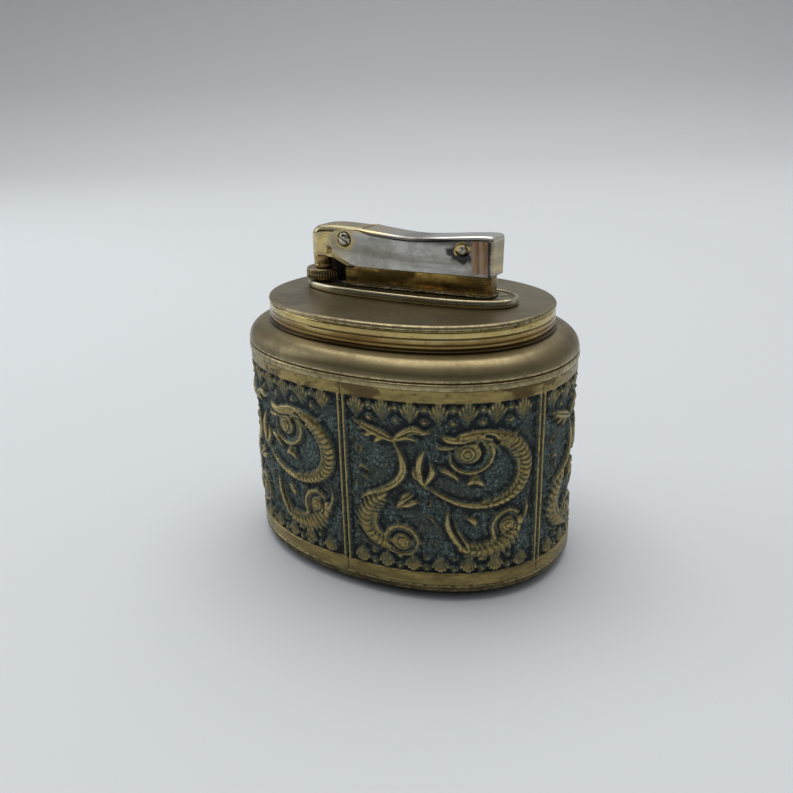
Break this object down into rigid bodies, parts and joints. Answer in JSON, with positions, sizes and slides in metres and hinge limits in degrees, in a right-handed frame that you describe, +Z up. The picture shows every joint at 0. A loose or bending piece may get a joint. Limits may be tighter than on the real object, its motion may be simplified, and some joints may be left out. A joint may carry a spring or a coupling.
{
  "type": "table lighter",
  "caption": "Oval brass table lighter with an embossed sea-creature band and a lift-out butane insert whose thumb lever opens the snuffer and turns the spark wheel.",
  "frame": {"origin": "middle of the underside, on the surface the lighter stands on", "axes": "+Z up, +X along the long side of the oval towards the free end of the thumb lever, burner at -X"},
  "size_m": [0.0764, 0.0578, 0.0729],
  "materials": {
    "aged_brass": "satin, aged",
    "bright_brass": "polished",
    "relief_brass": "embossed, green patina in the ground",
    "gold_plate": "polished gold plate",
    "worn_chrome": "worn over brass",
    "nickel": "polished nickel",
    "steel": "plain",
    "copper": "heat-tinted",
    "rubber": "matte",
    "felt": "felt",
    "flint": "rough"
  },
  "bodies": {
    "case": {"foot_pad": "felt", "base_plate": "aged_brass", "body_shell": "aged_brass", "relief_band": "relief_brass", "shoulder_ring": "aged_brass", "neck_ring": "bright_brass", "top_plate": "aged_brass", "insert_sleeve": "aged_brass"},
    "insert": {"insert_flange": "nickel", "fuel_tank": "aged_brass", "tank_bottom": "steel", "flint_tube": "bright_brass", "flint_spring": "steel", "flint": "flint", "fill_valve_body": "bright_brass", "fill_valve_seal": "rubber", "fill_valve_spring": "steel", "fill_valve_cage": "steel", "burner_body": "bright_brass", "burner_shroud": "copper", "valve_seal": "rubber", "valve_spring": "steel", "housing": "gold_plate", "frame": "steel", "stop_bar": "steel", "arm_pin": "steel", "wheel_axle": "steel", "pivot_screw": "steel", "pivot_nut": "steel", "lever_spring": "steel"},
    "lever": {"lever": "worn_chrome", "lever_rivet": "steel", "lever_tongue": "steel"},
    "snuffer": {"snuffer": "gold_plate", "snuffer_pin": "bright_brass", "tail_pin": "steel", "snuffer_cup": "bright_brass"},
    "arm": {"actuator_arm": "steel"},
    "wheel": {"spark_wheel": "steel", "ratchet_wheel": "steel"},
    "jet": {"burner_jet": "bright_brass"},
    "adjuster": {"adjuster_wheel": "aged_brass"},
    "flint_screw": {"flint_screw": "bright_brass"},
    "fill_valve": {"fill_valve_stem": "bright_brass"}
  },
  "joints": [
    {"name": "insert_lift", "type": "slide", "parent": "case", "child": "insert", "axis": [0, 0, 1], "range_m": [0, 0.042]},
    {"name": "lever_press", "type": "hinge", "parent": "insert", "child": "lever", "pos_m": [-0.0134, 0, 0.0702], "axis": [0, 1, 0], "range_deg": [0, 4.4], "stiffness_Nm_per_rad": 0.8, "springref_deg": -4.58, "deforming": ["lever_spring"]},
    {"name": "snuffer_open", "type": "hinge", "parent": "insert", "child": "snuffer", "pos_m": [-0.0134, 0, 0.0702], "axis": [0, 1, 0], "range_deg": [0, 24.8]},
    {"name": "arm_swing", "type": "hinge", "parent": "insert", "child": "arm", "pos_m": [0.012, 0, 0.0652], "axis": [0, 1, 0], "range_deg": [-3.7, 0]},
    {"name": "wheel_spin", "type": "hinge", "parent": "insert", "child": "wheel", "pos_m": [-0.0146, 0, 0.0669], "axis": [0, 1, 0], "range_deg": [0, 44.5]},
    {"name": "jet_lift", "type": "slide", "parent": "insert", "child": "jet", "axis": [0, 0, 1], "range_m": [0, 0.0004], "deforming": ["valve_spring"]},
    {"name": "adjuster_turn", "type": "hinge", "parent": "insert", "child": "adjuster", "pos_m": [-0.02185, 0, 0.0615], "axis": [0, 0, 1], "range_deg": [-135, 135]},
    {"name": "flint_screw_turn", "type": "hinge", "parent": "insert", "child": "flint_screw", "pos_m": [-0.0146, 0, 0.019], "axis": [0, 0, 1], "continuous": true},
    {"name": "fill_valve_press", "type": "slide", "parent": "insert", "child": "fill_valve", "axis": [0, 0, 1], "range_m": [0, 0.0008], "stiffness_N_per_m": 800, "springref_m": -0.0006, "deforming": ["fill_valve_spring"]}
  ],
  "couplings": [
    {"joint": "snuffer_open", "follows": "lever_press", "ratio": 5.6},
    {"joint": "arm_swing", "follows": "lever_press", "ratio": -0.814},
    {"joint": "wheel_spin", "follows": "lever_press", "ratio": 10},
    {"joint": "jet_lift", "follows": "lever_press", "m_per_rad": 0.0046}
  ]
}
